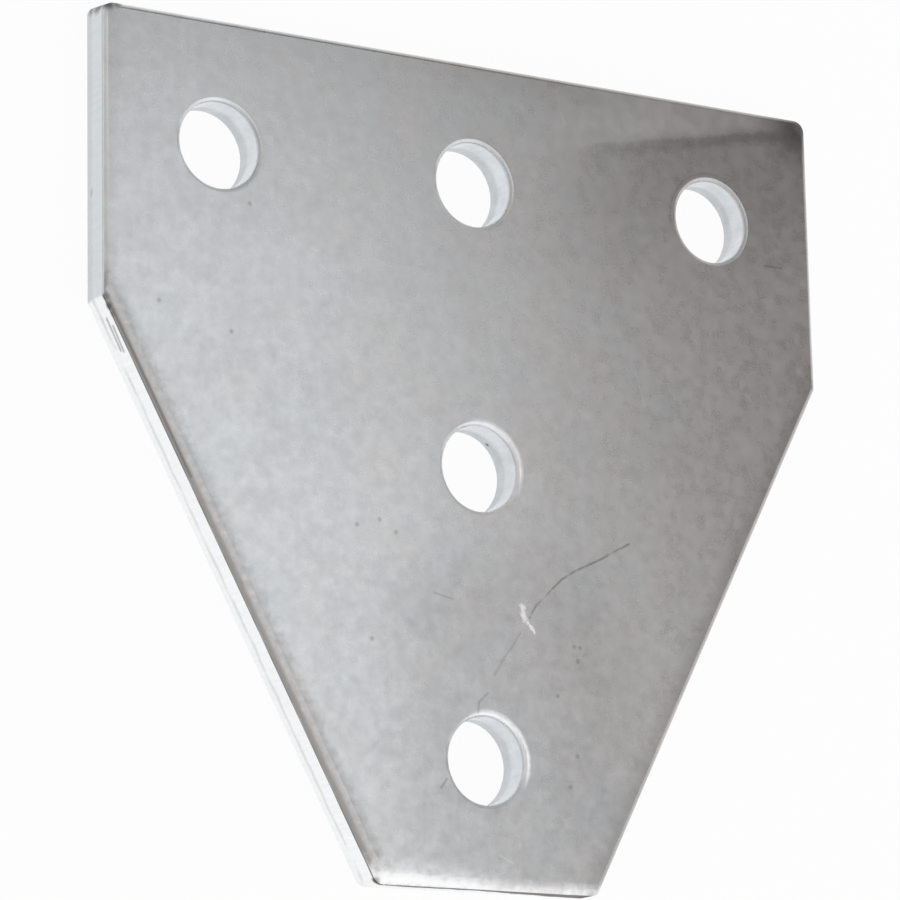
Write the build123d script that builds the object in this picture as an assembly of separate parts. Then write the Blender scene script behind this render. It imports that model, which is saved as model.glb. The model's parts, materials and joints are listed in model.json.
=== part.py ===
from build123d import *

import math
import os

# A tee gusset plate for steel strut channel. One piece of zinc-coated plate is
# sheared to a T with sloping flanks and punched for five half inch bolts.
#
# The plate lies on its back face. X runs across the head, Y runs from the foot to
# the head, and Z points out of the front face, the side that the punch entered.
# The origin is on the axis of the middle hole, at the back face. Millimetres.

INCH = 25.4

# Plate and bolt pattern
THICKNESS = 0.25 * INCH
HOLE_PITCH = 1.875 * INCH  # between holes, along the head and down the stem
HOLE_DIAMETER = 0.5625 * INCH
EDGE_DISTANCE = 0.8125 * INCH  # from the axis of an outer hole to the straight edge
SIDE_LENGTH = 1.875 * INCH  # straight edge at each end of the head
FOOT_WIDTH = 1.625 * INCH  # the width of the strut that the foot lies on

# Corners of the outline, the shoulders stay sharp. The head's corners are round at the
# front only and run out to sharp ones at the back.
HEAD_CORNER_RADIUS = 2.0
FOOT_CORNER_RADIUS = 2.0

# Sheared rim: rolled over at the front, smooth in the middle, torn at the back
ROLL_DEPTH = 0.5
SIDE_ROLL_WIDTH = 0.8  # along the sides, the head and the right flank
FOOT_ROLL_WIDTH = 1.9  # along the foot and the left flank
TEAR_HEIGHT = 2.4
TEAR_INSET = 0.4

# Punched holes: drawn in at the front, smooth in the middle, torn at the back
HOLE_ROLL_DEPTH = 0.4
HOLE_ROLL_WIDTH = 0.6
HOLE_TEAR_HEIGHT = 2.2
HOLE_TEAR_WIDENING = 0.1  # in radius

OVERRUN = 1.0  # how far a cutting shape runs past the plate

# Places of the outline's corners
REACH = HOLE_PITCH + EDGE_DISTANCE
HALF_FOOT = FOOT_WIDTH / 2
FOOT = Vector(HALF_FOOT, -REACH)
SHOULDER = Vector(REACH, REACH - SIDE_LENGTH)
HEAD = Vector(REACH, REACH)


def mirrored(point):
    """The same place on the left half of the plate."""
    return Vector(-point.X, point.Y)


def beyond(start, end):
    """A point on the line from start to end, as far past the end as the plate reaches."""
    return end + (end - start).normalized() * REACH


def hole_centres():
    """Three holes along the head and two down the stem, one pitch apart."""
    head = [(column * HOLE_PITCH, HOLE_PITCH) for column in (-1, 0, 1)]
    stem = [(0, -row * HOLE_PITCH) for row in (0, 1)]
    return head + stem


def outline():
    """The rim as a face, clockwise from the left end of the foot."""
    corners = [mirrored(FOOT), mirrored(SHOULDER), mirrored(HEAD), HEAD, SHOULDER, FOOT]
    foot, sharp = FOOT_CORNER_RADIUS, 0
    radii = [foot, sharp, sharp, sharp, sharp, foot]
    return make_face(FilletPolyline(*corners, radius=radii, close=True))


def head_path():
    """Round the head clockwise, run on straight past both shoulders."""
    left_end = beyond(mirrored(HEAD), mirrored(SHOULDER))
    right_end = beyond(HEAD, SHOULDER)
    return FilletPolyline(left_end, mirrored(HEAD), HEAD, right_end, radius=HEAD_CORNER_RADIUS)


def right_flank_path():
    """Down the right flank, run on straight past both of its ends."""
    return Line(beyond(FOOT, SHOULDER), beyond(SHOULDER, FOOT))


def foot_path():
    """Along the foot and up the left flank, run on straight past both ends."""
    right_end = beyond(mirrored(FOOT), FOOT)
    left_end = beyond(mirrored(FOOT), mirrored(SHOULDER))
    return FilletPolyline(right_end, mirrored(FOOT), left_end, radius=FOOT_CORNER_RADIUS)


def roll_profile(width):
    """What the shear's roll takes off the front corner of an edge, X outwards from the edge."""
    curve = EllipticalCenterArc(
        (-width, THICKNESS - ROLL_DEPTH), width, ROLL_DEPTH, start_angle=0, arc_size=90
    )
    past_edge = Polyline(
        (-width, THICKNESS),
        (-width, THICKNESS + OVERRUN),
        (OVERRUN, THICKNESS + OVERRUN),
        (OVERRUN, THICKNESS - ROLL_DEPTH),
        (0, THICKNESS - ROLL_DEPTH),
    )
    return make_face(curve + past_edge)


def rolled_off(path, width):
    """The roll's profile carried along a clockwise path."""
    along = path % 0
    section = Plane(origin=path @ 0, x_dir=Vector(0, 0, 1).cross(along), z_dir=along)
    return sweep(section * roll_profile(width), path=path)


def corner_fall():
    """What is missing outside the head's right corner: an arc at the roll, nothing at the back."""
    arc_centre = HEAD - Vector(HEAD_CORNER_RADIUS, HEAD_CORNER_RADIUS)
    arc = CenterArc(arc_centre, HEAD_CORNER_RADIUS, start_angle=0, arc_size=90)
    outside = Polyline(
        arc @ 1,
        (arc @ 1) + Vector(0, OVERRUN),
        HEAD + Vector(OVERRUN, OVERRUN),
        (arc @ 0) + Vector(OVERRUN, 0),
        arc @ 0,
    )
    top = THICKNESS - ROLL_DEPTH
    lean = HEAD_CORNER_RADIUS * (1 - math.sqrt(0.5))  # puts the arc's middle on the sharp corner
    downwards = Vector(lean, lean, -top)
    section = Pos(Z=top) * make_face(arc + outside)
    return extrude(section, downwards.length, dir=downwards.normalized())


def blank():
    """The sheared plate: a tapered torn band, the smooth edge above it, and the roll."""
    rim = Pos(Z=TEAR_HEIGHT) * outline()
    smooth = extrude(rim, THICKNESS - TEAR_HEIGHT)
    slope = math.degrees(math.atan2(TEAR_INSET, TEAR_HEIGHT))
    torn = extrude(rim, -TEAR_HEIGHT, taper=slope)
    head_roll = rolled_off(head_path(), SIDE_ROLL_WIDTH)
    right_roll = rolled_off(right_flank_path(), SIDE_ROLL_WIDTH)
    foot_roll = rolled_off(foot_path(), FOOT_ROLL_WIDTH)
    right_corner = corner_fall()
    left_corner = mirror(right_corner, Plane.YZ)
    return smooth + torn - head_roll - right_roll - foot_roll - right_corner - left_corner


def punched_hole():
    """The space of one hole, turned from its profile: drawn-in mouth, smooth wall, torn exit."""
    radius = HOLE_DIAMETER / 2
    torn_radius = radius + HOLE_TEAR_WIDENING
    mouth_radius = radius + HOLE_ROLL_WIDTH
    wall_top = THICKNESS - HOLE_ROLL_DEPTH
    mouth = EllipticalCenterArc(
        (mouth_radius, wall_top), HOLE_ROLL_WIDTH, HOLE_ROLL_DEPTH, start_angle=90, arc_size=90
    )
    rest = Polyline(
        (radius, wall_top),
        (radius, HOLE_TEAR_HEIGHT),
        (torn_radius, 0),
        (torn_radius, -OVERRUN),
        (0, -OVERRUN),
        (0, THICKNESS + OVERRUN),
        (mouth_radius, THICKNESS + OVERRUN),
        (mouth_radius, THICKNESS),
    )
    return revolve(Plane.XZ * make_face(mouth + rest), Axis.Z)


def gusset_plate():
    holes = [Pos(x, y) * punched_hole() for x, y in hole_centres()]
    return blank() - holes


os.makedirs("parts", exist_ok=True)
export_step(gusset_plate(), "parts/gusset_plate.step")
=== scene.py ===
import bpy
import json
import math
from mathutils import Euler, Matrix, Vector


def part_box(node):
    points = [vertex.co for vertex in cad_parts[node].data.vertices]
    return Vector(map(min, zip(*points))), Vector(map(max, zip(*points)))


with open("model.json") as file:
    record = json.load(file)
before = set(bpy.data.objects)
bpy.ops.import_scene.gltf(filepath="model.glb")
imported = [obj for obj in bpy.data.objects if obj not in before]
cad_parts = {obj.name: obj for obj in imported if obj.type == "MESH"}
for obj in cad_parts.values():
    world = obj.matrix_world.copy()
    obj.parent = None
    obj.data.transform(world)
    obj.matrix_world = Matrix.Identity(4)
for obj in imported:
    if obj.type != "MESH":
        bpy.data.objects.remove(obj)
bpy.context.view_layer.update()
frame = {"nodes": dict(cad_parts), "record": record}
plate = frame["nodes"]["gusset_plate"]
mm = 0.001  # one millimetre in scene units
plateLow, plateHigh = [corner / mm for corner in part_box("gusset_plate")]
holes = {mount["name"]: Vector(mount["pos_m"]) / mm
         for mount in frame["record"]["mounts"] if mount["kind"] == "bore"}
print("frame loaded:", len(holes), "holes in a plate up to", [round(side, 2) for side in plateHigh], "mm")


# A socket that takes part in Python sums. Each sum adds one Math node.
class Wire:
    def __init__(self, bench, socket):
        self.bench = bench
        self.socket = socket

    def maths(self, operation, *others):
        values = dict(enumerate((self,) + others))
        return self.bench.add("ShaderNodeMath", {"operation": operation}, values)

    def reflected(self, operation, other):
        return self.bench.add("ShaderNodeMath", {"operation": operation}, {0: other, 1: self})

    def __add__(self, other):
        return self.maths("ADD", other)

    def __radd__(self, other):
        return self.reflected("ADD", other)

    def __sub__(self, other):
        return self.maths("SUBTRACT", other)

    def __rsub__(self, other):
        return self.reflected("SUBTRACT", other)

    def __mul__(self, other):
        return self.maths("MULTIPLY", other)

    def __rmul__(self, other):
        return self.reflected("MULTIPLY", other)

    def __abs__(self):
        return self.maths("ABSOLUTE")

    def least(self, other):
        return self.maths("MINIMUM", other)

    def most(self, other):
        return self.maths("MAXIMUM", other)

    def ramp(self, off, on):  # 0 at off, 1 at on, smooth between, either way up
        settings = {"interpolation_type": "SMOOTHSTEP"}
        return self.bench.add("ShaderNodeMapRange", settings, {0: self, 1: off, 2: on})


# One material's node tree, with one way to add any node
class Bench:
    def __init__(self, material):
        material.use_nodes = True
        self.tree = material.node_tree
        self.tree.nodes.clear()

    def add(self, kind, settings=None, values=None, output=0):
        node = self.tree.nodes.new(kind)
        for name, setting in (settings or {}).items():
            setattr(node, name, setting)
        for key, value in (values or {}).items():
            if isinstance(value, Wire):
                self.tree.links.new(value.socket, node.inputs[key])
            else:
                node.inputs[key].default_value = value
        return Wire(self, node.outputs[output]) if node.outputs else None

    def read(self, kind, output):
        return self.add(kind, output=output)

    def mixed(self, share, first, second):  # the first colour at 0, the second at 1
        colours = [value if isinstance(value, Wire) else (*value, 1.0) for value in (first, second)]
        values = {0: share, 6: colours[0], 7: colours[1]}
        return self.add("ShaderNodeMix", {"data_type": "RGBA"}, values, output=2)


def vectorMaths(bench, operation, values, output=0):
    return bench.add("ShaderNodeVectorMath", {"operation": operation}, values, output)


# Camera: fitted to the plate's corners and holes in the photograph
cameraSetup = {
    "place": (-0.36716, -0.14941, 0.57579),
    "turnDegrees": (13.415, -32.134, -1.363),
    "lens": 171.96,
    "sensor": 36.0,
}


def aimCamera():
    data = bpy.data.cameras.new("studioCamera")
    data.lens = cameraSetup["lens"]
    data.sensor_width = cameraSetup["sensor"]
    camera = bpy.data.objects.new("studioCamera", data)
    camera.location = cameraSetup["place"]
    camera.rotation_euler = Euler([math.radians(angle) for angle in cameraSetup["turnDegrees"]])
    bpy.context.scene.collection.objects.link(camera)
    bpy.context.scene.camera = camera


aimCamera()
print("camera placed")

# Studio: one soft box over a white table, in a plain room that is white near the horizon,
# bright beyond the plate's foot and dim in a small patch high beyond its head.
# A From and a Full are where a zone of the room starts and where it is full: cosines from
# its middle, or degrees above the horizon.
softBox = {"place": (0.207, 0.092, 0.6), "spin": 12, "size": (0.4, 0.37),
           "level": 0.805, "colour": (0.965, 1.0, 1.035)}
room = {
    "plain": (0.62, 0.6, 0.585),
    "dim": (0.1, 0.085, 0.075), "dimWay": (0.5, 0.36, 0.788), "dimFrom": 0.9, "dimFull": 0.965,
    "bright": (1.05, 1.05, 1.05), "brightWay": (0.42, -0.91, 0), "brightFrom": 0.25, "brightFull": 0.5,
    "white": (1.0, 1.0, 1.0), "whiteFrom": 18, "whiteFull": 8,
}
table = {"size": 6.0, "white": 0.9, "backdropShare": 0.95, "gap": 0.02 * mm}


def hangSoftBox():
    data = bpy.data.lights.new("softBox", "AREA")
    data.shape = "RECTANGLE"
    data.size, data.size_y = softBox["size"]
    data.color = softBox["colour"]
    data.energy = softBox["level"] * math.pi * data.size * data.size_y  # level is how bright its face looks
    light = bpy.data.objects.new("softBox", data)
    light.location = softBox["place"]
    light.rotation_euler = (0, 0, math.radians(softBox["spin"]))
    bpy.context.scene.collection.objects.link(light)


def fillRoom():
    world = bpy.data.worlds.new("studioRoom")
    bpy.context.scene.world = world
    bench = Bench(world)
    direction = bench.read("ShaderNodeTexCoord", "Generated")
    colour = room["plain"]
    for part in ("dim", "bright"):
        towards = vectorMaths(bench, "DOT_PRODUCT", {0: direction, 1: room[part + "Way"]}, output=1)
        colour = bench.mixed(towards.ramp(room[part + "From"], room[part + "Full"]), colour, room[part])
    upwards = bench.add("ShaderNodeSeparateXYZ", None, {0: direction}, output=2)
    edges = [math.sin(math.radians(room[edge])) for edge in ("whiteFrom", "whiteFull")]
    colour = bench.mixed(upwards.ramp(*edges), colour, room["white"])
    light = bench.add("ShaderNodeBackground", None, {"Color": colour, "Strength": 1.0})
    bench.add("ShaderNodeOutputWorld", None, {"Surface": light})


def layTable():
    bpy.ops.mesh.primitive_plane_add(size=table["size"], location=(0, 0, -table["gap"]))
    top = bpy.context.object
    top.name = "studioTable"
    finish = bpy.data.materials.new("whiteTable")
    bench = Bench(finish)
    backdrop = bench.read("ShaderNodeLightPath", "Is Camera Ray")
    for ray in ("Is Glossy Ray", "Is Transmission Ray"):
        backdrop = backdrop.most(bench.read("ShaderNodeLightPath", ray))
    white = table["white"]
    lit = bench.add("ShaderNodeBsdfDiffuse", None, {"Color": (white, white, white, 1)})
    glow = bench.add("ShaderNodeEmission", None, {"Color": (1, 1, 1, 1), "Strength": 1.0})
    shown = bench.add("ShaderNodeMixShader", None, {0: backdrop * table["backdropShare"], 1: lit, 2: glow})
    bench.add("ShaderNodeOutputMaterial", None, {"Surface": shown})
    top.data.materials.append(finish)


hangSoftBox()
fillRoom()
layTable()
print("studio lit")

# From here on, lengths are millimetres on the plate. A pair is where a zone starts and where it is
# full. A dictionary with a size is a cloud: its blots' size, its depth and its place in the noise.


def cloud(bench, place, size, seed, depth=None, detail=2.0, pull=(1, 1, 1)):  # noise about zero
    scale = [1 / size * share for share in pull]
    moved = bench.add("ShaderNodeMapping", None, {"Vector": place, "Location": (seed,) * 3, "Scale": scale})
    noise = bench.add("ShaderNodeTexNoise", None, {"Vector": moved, "Scale": 1.0, "Detail": detail}) - 0.5
    return noise if depth is None else noise * depth


def farFrom(bench, place, point):
    return vectorMaths(bench, "DISTANCE", {0: place, 1: (*point, 0.0)[:3]}, output=1)


def farFromStretch(bench, place, start, end):
    start, end = [Vector((*point, 0.0)[:3]) for point in (start, end)]
    along = end - start
    fromStart = vectorMaths(bench, "SUBTRACT", {0: place, 1: start})
    share = vectorMaths(bench, "DOT_PRODUCT", {0: fromStart, 1: along / along.length_squared}, output=1)
    held = bench.add("ShaderNodeClamp", None, {0: share})
    nearest = vectorMaths(bench, "SCALE", {0: along, "Scale": held})
    return vectorMaths(bench, "DISTANCE", {0: fromStart, 1: nearest}, output=1)


def leastOf(gaps):
    nearest = gaps[0]
    for gap in gaps[1:]:
        nearest = nearest.least(gap)
    return nearest


def mostOf(shares):
    strongest = shares[0]
    for share in shares[1:]:
        strongest = strongest.most(share)
    return strongest


def farFromLine(bench, place, points):
    return leastOf([farFromStretch(bench, place, start, end) for start, end in zip(points, points[1:])])


def squaredNearness(distance, width):  # 1 on the edge, 0 from a width away
    near = (1.0 - distance * (1 / width)).most(0.0)
    return near * near


# Painted shade: the faint dark line beside the head's right half, and the darker coat above and below it
headLine = {
    "ends": [(38, 60.7), (64.2, 66)], "wander": {"size": 7.0, "depth": 0.8, "seed": 2.9},
    "middle": 0.4, "halfWidth": 2.6, "across": (16, 50), "share": 0.26, "smoother": 0.03,
    "belowEdge": (0.5, -1.5), "belowFade": (-32, -6), "belowAcross": (6, 40), "belowShade": 0.17,
    "aboveEdge": (-0.5, 2.0), "aboveAcross": (14, 50), "aboveShade": 0.07,
    "roughEdge": (-0.5, 0.8), "roughAcross": (14, 36), "roughEnd": (66, 54), "rougher": 0.05,
}


def headTilt(x, y):  # how far a place lies above the faint line beside the head's right half
    start, end = [Vector(point) for point in headLine["ends"]]
    along = (end - start).normalized()
    across = Vector((-along.y, along.x))
    return x * across.x + y * across.y - across.dot(start)


def headLineShade(spot):  # the faint line itself, painted shade
    nearness = abs(spot["tilt"] + headLine["middle"]).ramp(headLine["halfWidth"], 0.0)
    return nearness * spot["x"].ramp(*headLine["across"]) * spot["front"]


# The plate's own sizes, and the zones that its finishes share
zones = {
    "sideLength": 47.625, "footWidth": 41.275, "mouthRadius": 7.144,
    "wallFacing": (0.75, 0.45), "frontFacing": (0.2, 0.6), "rollFacing": (0.998, 0.96),
    "frontHeight": (5.4, 5.8),
    "shoulderSpan": 0.3, "flankLean": 0.535, "flankReach": (-36, -42),
    "holeReach": (1.5, 1.0), "footReach": (1.2, 0.6),
}


def readPlate(bench):  # places and zones that the finishes share
    local = bench.read("ShaderNodeTexCoord", "Object")
    place = vectorMaths(bench, "SCALE", {0: local, "Scale": 1 / mm})
    x, y, z = [bench.add("ShaderNodeSeparateXYZ", None, {0: place}, output=axis) for axis in range(3)]
    flat = bench.add("ShaderNodeCombineXYZ", None, {0: x, 1: y})
    normal = bench.read("ShaderNodeTexCoord", "Normal")
    upright = bench.add("ShaderNodeSeparateXYZ", None, {0: normal}, output=2)
    return {
        "place": place, "flat": flat, "x": x, "y": y, "z": z,
        "fromHoles": {name: farFrom(bench, flat, (middle.x, middle.y)) for name, middle in holes.items()},
        "tilt": headTilt(x, y) + cloud(bench, place, **headLine["wander"]),
        "wall": abs(upright).ramp(*zones["wallFacing"]),
        "front": z.ramp(*zones["frontHeight"]) * upright.ramp(*zones["frontFacing"]),
        "roll": z.ramp(*zones["frontHeight"]) * upright.ramp(*zones["rollFacing"]),
    }


# The zinc coat on both faces
zinc = {
    "cool": (0.765, 0.785, 0.795), "warm": (0.79, 0.775, 0.77),
    "hue": {"size": 9.0, "seed": 11.9}, "hueDrift": 0.005, "hueSpan": (-0.3, 0.3),
    "broad": {"size": 16.0, "depth": 0.1, "seed": 3.1, "detail": 1.0},
    "mottle": {"size": 2.0, "depth": 0.25, "seed": 7.4, "detail": 1.0},
    "grain": {"size": 0.8, "depth": 0.03, "seed": 1.7, "pull": (1.0, 0.4, 1.0)},
    "patchyWay": (90, -70), "patchyLeast": 0.5, "patchyRise": 0.8,
    # painted shade: the coat darker along a stretch up the lower middle and along the top edge; painted
    # light: lighter towards the top left
    "lowerShadeLine": [(9, -66), (5, -34)], "lowerShadeReach": (31, 14), "lowerShade": 0.14,
    "topReach": (7.0, 1.0), "topAcross": (-30, 15), "topShade": 0.08,
    "topLeftWay": (-85, -130), "topLeftLift": 0.08,
    "roughness": 0.28, "roughMottle": {"size": 2.0, "depth": 0.08, "seed": 9.3, "detail": 1.0},
    "peel": {"size": 2.0, "depth": 0.003, "seed": 12.5, "detail": 1.0},
}


def mouthShade(spot):  # the head's holes are darker at the right of their mouths
    shades = []
    for name in rim["shadedMouths"]:
        fromMouth = spot["fromHoles"][name] - zones["mouthRadius"]
        rightwards = (spot["x"] - holes[name].x).ramp(*rim["shadeAcross"])
        shades.append(squaredNearness(fromMouth, rim["mouthWidth"]) * rightwards)
    return mostOf(shades) * rim["mouthShade"]


def coatTone(bench, spot):  # slow blots, soft mottling and a faint grain up the plate, with painted shade in stretches and painted light at the top left
    x, y, tilt = spot["x"], spot["y"], spot["tilt"]
    broad, mottle, grain = [cloud(bench, spot["place"], **zinc[name])
                            for name in ("broad", "mottle", "grain")]
    patchy = (x + y).ramp(*zinc["patchyWay"]) * zinc["patchyRise"] + zinc["patchyLeast"]
    lowerShaded = farFromLine(bench, spot["flat"], zinc["lowerShadeLine"]).ramp(*zinc["lowerShadeReach"])
    below = tilt.ramp(*headLine["belowEdge"]) * tilt.ramp(*headLine["belowFade"])
    below = below * x.ramp(*headLine["belowAcross"])
    above = tilt.ramp(*headLine["aboveEdge"]) * x.ramp(*headLine["aboveAcross"])
    nearTop = (plateHigh.y - y).ramp(*zinc["topReach"]) * x.ramp(*zinc["topAcross"])
    shade = lowerShaded * zinc["lowerShade"] + below * headLine["belowShade"] + above * headLine["aboveShade"]
    shade = shade + mouthShade(spot) + nearTop * zinc["topShade"]
    lift = (x - y).ramp(*zinc["topLeftWay"]) * zinc["topLeftLift"]
    return 1.0 + (broad + mottle + grain) * patchy - shade + lift


def coatColour(bench, spot):
    hue = cloud(bench, spot["place"], **zinc["hue"]) + spot["x"] * zinc["hueDrift"]
    colour = bench.mixed(hue.ramp(*zinc["hueSpan"]), zinc["cool"], zinc["warm"])
    return vectorMaths(bench, "SCALE", {0: colour, "Scale": coatTone(bench, spot)})


# The rolled edge of the front: a brown-grey rubbed band, deepened with painted shade, beside the left side
# and both flanks, and a painted highlight at the foot and at two holes' mouths
rim = {
    "rollRoughness": 0.5,
    # rubbed band colour, deepened with painted shade beside the flanks
    "rubbedAndShade": (0.41, 0.395, 0.385), "rubbedAndShadeReach": (4.4, 0.2),
    "rubbedAndShadeWander": {"size": 1.1, "depth": 2.6, "seed": 5.2, "detail": 3.0},
    "rubbedAndShadeLeft": 0.92, "paintedShadeRight": 0.45, "rubbedSide": 0.2,
    # painted highlight: near-white colour on the foot's roll and at two holes' mouths, standing in for a
    # bright reflection
    "paintedHighlight": (0.97, 0.975, 0.985), "highlightRoughness": 0.36,
    "highlightWander": {"size": 1.3, "depth": 5.0, "seed": 13.7, "detail": 3.0},
    "highlightReach": (5.2, 0.3), "highlightAcross": (-16, 10), "highlightNarrowing": 2.3,
    "fallWidth": 4.8, "fallWander": 0.15, "fallDepth": 0.8,
    "mouthWidth": 1.3, "mouthFull": 0.3, "mouthWander": 0.35, "mouthFall": 0.3,
    "riseWidth": 0.65, "riseDepth": 0.1, "riseWay": (3.0, -5.0),
    "mouthShine": {"foot_hole": 0.85, "middle_hole": 0.35}, "shineWay": (1.0, 7.0),
    "shadedMouths": ["head_left_hole", "head_middle_hole", "head_right_hole"],
    "mouthShade": 0.35, "shadeAcross": (-2, 5),
}


def rubbedAndShadedEdge(bench, spot):  # brown-grey rubbed stretch beside the left side and both flanks, deepened with painted shade; on the right flank it is mostly painted shade
    shoulder = Vector((plateLow.x, plateHigh.y - zones["sideLength"]))
    foot = Vector((-zones["footWidth"] / 2, plateLow.y))
    along = (foot - shoulder).normalized()
    inwards = Vector((-along.y, along.x))
    fromFlank = spot["y"] * inwards.y - abs(spot["x"]) * inwards.x - inwards.dot(shoulder)
    fromSide = spot["x"] - plateLow.x
    wander = cloud(bench, spot["place"], **rim["rubbedAndShadeWander"])
    flankShare = rim["rubbedAndShadeLeft"] + spot["x"].ramp(-1, 1) * (rim["paintedShadeRight"] - rim["rubbedAndShadeLeft"])
    nearFlank = (fromFlank + wander).ramp(*rim["rubbedAndShadeReach"]) * flankShare
    nearSide = (fromSide + wander).ramp(*rim["rubbedAndShadeReach"]) * rim["rubbedSide"]
    return nearFlank.most(nearSide) * spot["front"]


def edgeHighlight(bench, spot):  # painted highlight: a bright stretch at the foot and at two holes' upper right, over relief that falls away
    wander = cloud(bench, spot["place"], **rim["highlightWander"])
    narrowing = spot["x"].ramp(*rim["highlightAcross"]) * rim["highlightNarrowing"]
    inwards = spot["y"] - plateLow.y + narrowing
    share = (inwards + wander).ramp(*rim["highlightReach"])
    near = (1.0 - (inwards + wander * rim["fallWander"]) * (1 / rim["fallWidth"])).most(0.0)
    fall = near * near * near * rim["fallDepth"]
    for name, middle in holes.items():
        fromMouth = spot["fromHoles"][name] - zones["mouthRadius"]
        diagonal = spot["x"] + spot["y"] - middle.x - middle.y
        rise = squaredNearness(fromMouth, rim["riseWidth"]) * rim["riseDepth"]
        fall = fall - rise * diagonal.ramp(*rim["riseWay"])
        if name in rim["mouthShine"]:
            upperRight = diagonal.ramp(*rim["shineWay"]) * rim["mouthShine"][name]
            shine = (fromMouth + wander * rim["mouthWander"]).ramp(rim["mouthWidth"], rim["mouthFull"])
            share = share.most(shine * upperRight)
            fall = fall + squaredNearness(fromMouth, rim["mouthWidth"]) * upperRight * rim["mouthFall"]
    return share * spot["front"], fall * spot["front"]


# The sheared walls all round and in the punched holes
walls = {
    "tearHeight": 2.4, "tearWander": {"size": 4.0, "depth": 1.2, "seed": 2.6, "detail": 3.0},
    "tearSoft": 0.25, "tornFacing": (0.2, -0.2),
    "land": (0.66, 0.685, 0.71), "torn": (0.64, 0.665, 0.69),
    # painted light: the flanks' walls are lit, near-white copies of the land and torn colours
    "litFlankLand": (0.93, 0.945, 0.955), "litFlankTorn": (0.96, 0.975, 0.985),
    "landRoughness": 0.2, "tornRoughness": 0.4,
    "streaks": {"size": 0.7, "depth": 0.12, "seed": 8.8, "pull": (1.0, 1.0, 0.12)},
    "grooves": {"size": 0.8, "depth": 0.03, "seed": 8.8, "pull": (1.0, 1.0, 0.12)},
    "holeLand": (0.68, 0.71, 0.74), "holeTorn": (0.6, 0.63, 0.655), "holeTear": (-1.0, 1.2),
    "holeBlots": {"size": 2.6, "depth": 0.3, "seed": 10.1},
    "patches": {"size": 7.0, "seed": 6.3}, "patchSpan": (-0.25, 0.05),
    "seam": (0.3, 0.295, 0.29), "seamWidth": 0.7, "seamShare": 0.3,
    "seamShoulder": 0.45, "seamClimb": (2, 15),
    # painted shade along the lip under the roll, deepest on the flanks
    "lipShade": (0.08, 0.078, 0.075), "lipHeight": 5.83, "lipReach": (0.3, 0.04),
    "lipShare": 0.3, "lipFlank": 0.92, "lipPatchy": 0.3,
    # painted light and shade on the foot's wall: a pale lit copy of the wall, and painted shade along its
    # top
    "foot": (0.93, 0.93, 0.93), "leftFootShade": (0.22, 0.2, 0.18), "rightFootShade": (0.22, 0.205, 0.19),
    "footShadeHeights": (5.0, 2.8), "footShadeAcross": (-6, 18), "footShadeWander": 1.4, "footShadeEdge": (-0.3, 0.5),
    "footShadeMatte": 0.85,
}


def footLightAndShade(bench, spot, wander):  # painted light and shade: a pale lit wall with painted shade along its top, deeper at the right
    x, z = spot["x"], spot["z"]
    leftHeight, rightHeight = walls["footShadeHeights"]
    rightwards = x.ramp(*walls["footShadeAcross"])
    edge = leftHeight + (rightHeight - leftHeight) * rightwards + wander * walls["footShadeWander"]
    footShaded = (z - edge).ramp(*walls["footShadeEdge"])
    footShade = bench.mixed(rightwards, walls["leftFootShade"], walls["rightFootShade"])
    return bench.mixed(footShaded, walls["foot"], footShade), footShaded


def wallColour(bench, spot):  # also how far a place is torn, and how far the foot's painted shade covers it
    x, y, z = spot["x"], spot["y"], spot["z"]
    wander = cloud(bench, spot["place"], **walls["tearWander"])
    height = z + wander - walls["tearHeight"]
    above = height.ramp(-walls["tearSoft"], walls["tearSoft"])
    shoulderY = plateHigh.y - zones["sideLength"]
    belowShoulder = y.ramp(shoulderY + zones["shoulderSpan"], shoulderY - zones["shoulderSpan"])
    onFlank = belowShoulder * (x + y * zones["flankLean"]).ramp(*zones["flankReach"])
    inHole = leastOf(list(spot["fromHoles"].values())) - zones["mouthRadius"]
    inHole = inHole.ramp(*zones["holeReach"])
    plain = bench.mixed(above, walls["torn"], walls["land"])
    plain = bench.mixed(onFlank, plain, bench.mixed(above, walls["litFlankTorn"], walls["litFlankLand"]))
    punched = bench.mixed(height.ramp(*walls["holeTear"]), walls["holeTorn"], walls["holeLand"])
    plain = bench.mixed(inHole, plain, punched)
    streaks = cloud(bench, spot["place"], **walls["streaks"])
    streaks = streaks + cloud(bench, spot["place"], **walls["holeBlots"]) * inHole
    streaked = vectorMaths(bench, "SCALE", {0: plain, "Scale": 1.0 + streaks})
    # the seam between the smooth and the torn band, and painted shade along the lip under the roll
    patches = cloud(bench, spot["place"], **walls["patches"]).ramp(*walls["patchSpan"])
    upwards = y.ramp(*walls["seamClimb"])
    seamShare = walls["seamShare"] + upwards * (walls["seamShoulder"] - walls["seamShare"])
    seam = abs(height).ramp(walls["seamWidth"], 0.0) * patches * onFlank * seamShare
    seamed = bench.mixed(seam, streaked, walls["seam"])
    lipShare = walls["lipShare"] + onFlank * (walls["lipFlank"] - walls["lipShare"])
    lipShade = abs(z - walls["lipHeight"]).ramp(*walls["lipReach"]) * lipShare
    lipShade = lipShade * (patches * walls["lipPatchy"] + (1 - walls["lipPatchy"]))
    lipShaded = bench.mixed(lipShade, seamed, walls["lipShade"])
    foot, footShaded = footLightAndShade(bench, spot, wander)
    atFoot = (y - plateLow.y).ramp(*zones["footReach"])
    torn = height.ramp(*walls["tornFacing"])
    return bench.mixed(atFoot, lipShaded, foot), torn, footShaded * atFoot * spot["wall"]
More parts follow.
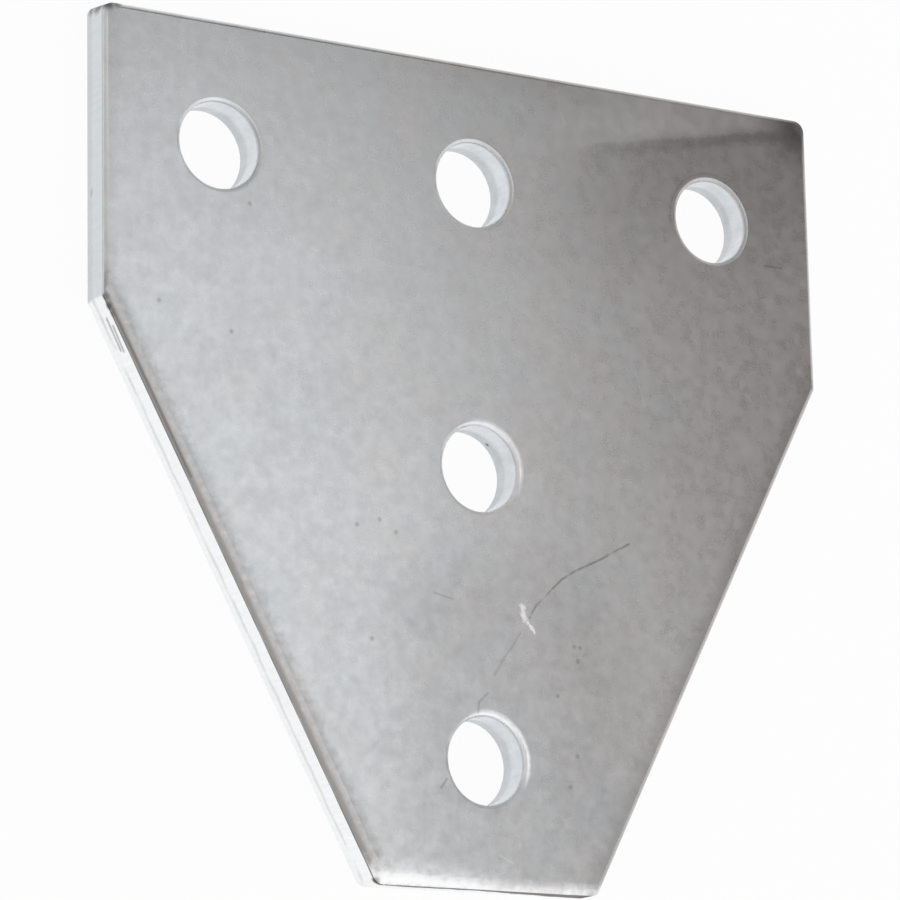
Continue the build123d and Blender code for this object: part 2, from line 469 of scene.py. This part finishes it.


# Handling marks and dark spots, with painted shade at the top right corner, placed from the photograph
wear = {
    "dark": (0.26, 0.255, 0.25), "bright": (0.97, 0.975, 0.98), "darkSpot": (0.09, 0.088, 0.085),
    "hairline": [(28.7, -9.9), (22.7, -13.1), (17.8, -15.4), (15.2, -17), (12.7, -19.3), (10, -21.9),
                 (8.9, -23.8)],
    "hairlineReach": (0.33, 0.0), "hairlineShare": 0.7,
    "uneven": {"size": 2.0, "seed": 4.4}, "unevenSpan": (-0.3, 0.05),
    "lineReach": (0.308, 0.05),
    # other thin dark lines: points and share
    "hairlineTail": ([(7, -26.4), (5.6, -28.4), (3.7, -30.9), (1.8, -33.7)], 0.25),
    "hookedScratch": ([(0.5, -36.7), (-1.2, -38.2), (-1.5, -40)], 0.35),
    "footScratch": ([(-7.6, -51), (-8.6, -52.4)], 0.5),
    "faintStreak": ([(-9.3, -21.2), (-5.8, -21.9)], 0.3),
    "headDash": ([(58.6, 41.3), (62.3, 41.3)], 0.35),
    "shoulderLine": ([(-66.7, 18.5), (-60.3, 6.7), (-53.2, -6.6)], 0.8),
    "pits": [(-19.2, -10.2), (-16.2, -12), (-23.4, -11.4), (-21, -29.5), (17.3, -27.9), (18.5, -28),
             (18, -30.2), (17.5, -45.8), (15.9, -50.9), (13.9, -36.2), (-42.3, 38.7), (-58.7, 20.9),
             (-45.8, 17.4)],
    "pitReach": (0.6, 0.1), "pitShare": 0.45, "markDepth": 0.01,
    "arcHole": "head_right_hole", "arcRadius": 8.4, "arcReach": (0.4, 0.0), "arcWay": (-3, -9),
    "arcShare": 0.25,
    # pale scrapes: points and half width
    "scuffs": [([(7.3, -22.2), (8, -24.1)], 0.75), ([(8, -24.1), (9.6, -26.1)], 0.5)],
    "scuffFull": 0.1, "scuffRagged": {"size": 0.8, "depth": 1.5, "seed": 6.6}, "scuffMatte": 0.85,
    "paleScratches": [[(18.3, 60.4), (17.5, 62.4)], [(31, 19.5), (33, 13)], [(2, -62.6), (4.5, -63.8)]],
    "paleReach": (0.286, 0.05), "paleShare": 0.35,
    # painted shade darkening the top right corner
    "cornerReach": (12.0, 1.0), "cornerShare": 0.9,
    # streaks on the left flank's wall
    "flankStreaks": [[(-66.6, 17.4, 3.9), (-64.1, 12.8, 3.7)], [(-65.9, 16.1, 4.7), (-64, 12.5, 4.4)]],
    "streakReach": (0.5, 0.0), "streakShare": 0.5,
    # dark spots on the rim and the walls: place, radius, share
    "darkSpots": [((-67.3, 67.8, 6), 1.6, 0.9), ((-65.9, 68.0, 6), 1.3, 0.7), ((-68, 68, 4.2), 2.0, 0.7),
                ((-68.1, 68, 2), 1.7, 0.5), ((-67.9, 20.4, 6), 0.9, 0.5), ((-67.4, 18.9, 6), 1.0, 0.8),
                ((-66.9, 17.7, 6), 0.8, 0.5), ((-20.7, -67.6, 5.8), 0.9, 0.6), ((-68.2, 38, 2), 1.0, 0.2),
                ((4.8, 5.5, 1.2), 0.5, 0.7), ((19.5, -68.2, 4.5), 2.4, 0.7), ((68, 67.4, 6), 2.6, 0.6)],
    "darkSpotFull": 0.2,
}


def darkMarks(bench, spot):
    flat, x, y = spot["flat"], spot["x"], spot["y"]
    uneven = cloud(bench, spot["place"], **wear["uneven"]).ramp(*wear["unevenSpan"])
    hairline = farFromLine(bench, flat, wear["hairline"]).ramp(*wear["hairlineReach"])
    darks = [hairline * uneven * wear["hairlineShare"]]
    for name in ("hairlineTail", "hookedScratch", "footScratch", "faintStreak", "headDash", "shoulderLine"):
        points, share = wear[name]
        darks.append(farFromLine(bench, flat, points).ramp(*wear["lineReach"]) * share)
    pits = leastOf([farFrom(bench, flat, point) for point in wear["pits"]])
    darks.append(pits.ramp(*wear["pitReach"]) * wear["pitShare"])
    middle = holes[wear["arcHole"]]
    arc = abs(spot["fromHoles"][wear["arcHole"]] - wear["arcRadius"]).ramp(*wear["arcReach"])
    darks.append(arc * (x - y - middle.x + middle.y).ramp(*wear["arcWay"]) * wear["arcShare"])
    return mostOf(darks) * spot["front"]


def brightMarks(bench, spot):  # all pale marks, and the scuffs alone
    flat = spot["flat"]
    ragged = cloud(bench, spot["place"], **wear["scuffRagged"])
    scuffed = mostOf([(farFromLine(bench, flat, points) + ragged).ramp(halfWidth, wear["scuffFull"])
                      for points, halfWidth in wear["scuffs"]])
    scratches = [farFromLine(bench, flat, points).ramp(*wear["paleReach"]) * wear["paleShare"]
                 for points in wear["paleScratches"]]
    return mostOf([scuffed] + scratches) * spot["front"], scuffed * spot["front"]


# dark spots, mostly at the outline's corners, and streaks on the left flank's wall
def darkSpots(bench, spot):
    place = spot["place"]
    streaks = leastOf([farFromLine(bench, place, points) for points in wear["flankStreaks"]])
    shares = [streaks.ramp(*wear["streakReach"]) * wear["streakShare"]]
    for point, radius, share in wear["darkSpots"]:
        shares.append(farFrom(bench, place, point).ramp(radius, radius * wear["darkSpotFull"]) * share)
    return mostOf(shares)


def coatRoughness(bench, spot, line, paintedHighlight, torn):
    above = spot["tilt"].ramp(*headLine["roughEdge"]) * spot["x"].ramp(*headLine["roughAcross"])
    above = above * spot["x"].ramp(*headLine["roughEnd"]) * spot["front"]
    rough = zinc["roughness"] + cloud(bench, spot["place"], **zinc["roughMottle"])
    rough = rough + above * headLine["rougher"] - line * headLine["smoother"]
    rough = rough + (rim["rollRoughness"] - rough) * spot["roll"]
    rough = rough + (rim["highlightRoughness"] - rough) * paintedHighlight
    wallRough = walls["landRoughness"] + torn * (walls["tornRoughness"] - walls["landRoughness"])
    return rough + (wallRough - rough) * spot["wall"]


def zincCoat():
    finish = bpy.data.materials.new("zincCoatedSteel")
    bench = Bench(finish)
    spot = readPlate(bench)
    line = headLineShade(spot)
    # painted shade darkening the top right corner
    corner = farFrom(bench, spot["flat"], (plateHigh.x, plateHigh.y)).ramp(*wear["cornerReach"])
    paintedHighlight, fall = edgeHighlight(bench, spot)
    sheared, torn, footShaded = wallColour(bench, spot)
    dark, darkSpot = darkMarks(bench, spot), darkSpots(bench, spot)
    bright, scuffed = brightMarks(bench, spot)
    # real dark marks together with painted shade: the head's faint line and the top right corner
    shade = mostOf([dark, line * headLine["share"], corner * spot["front"] * wear["cornerShare"]])
    # colour, from the coat to what lies on it
    colour = bench.mixed(rubbedAndShadedEdge(bench, spot), coatColour(bench, spot), rim["rubbedAndShade"])
    colour = bench.mixed(paintedHighlight, colour, rim["paintedHighlight"])
    colour = bench.mixed(spot["wall"], colour, sheared)
    colour = bench.mixed(shade, colour, wear["dark"])
    colour = bench.mixed(bright, colour, wear["bright"])
    colour = bench.mixed(darkSpot, colour, wear["darkSpot"])
    matte = mostOf([scuffed * wear["scuffMatte"], footShaded * walls["footShadeMatte"], darkSpot])
    # relief in millimetres
    peel = cloud(bench, spot["place"], **zinc["peel"])
    grooves = cloud(bench, spot["place"], **walls["grooves"]) * spot["wall"]
    height = peel + grooves - dark * wear["markDepth"] - fall
    relief = bench.add("ShaderNodeBump", None, {"Strength": 1.0, "Distance": mm, "Height": height})
    shader = bench.add("ShaderNodeBsdfPrincipled", None, {
        "Base Color": colour, "Metallic": 1.0 - matte, "Normal": relief, "Specular IOR Level": 0.0,
        "Roughness": coatRoughness(bench, spot, line, paintedHighlight, torn)})
    bench.add("ShaderNodeOutputMaterial", None, {"Surface": shader})
    print("zinc coat made of", len(bench.tree.nodes), "nodes")
    return finish


plate.material_slots[0].material = zincCoat()

bpy.context.scene.view_settings.view_transform = "Standard"
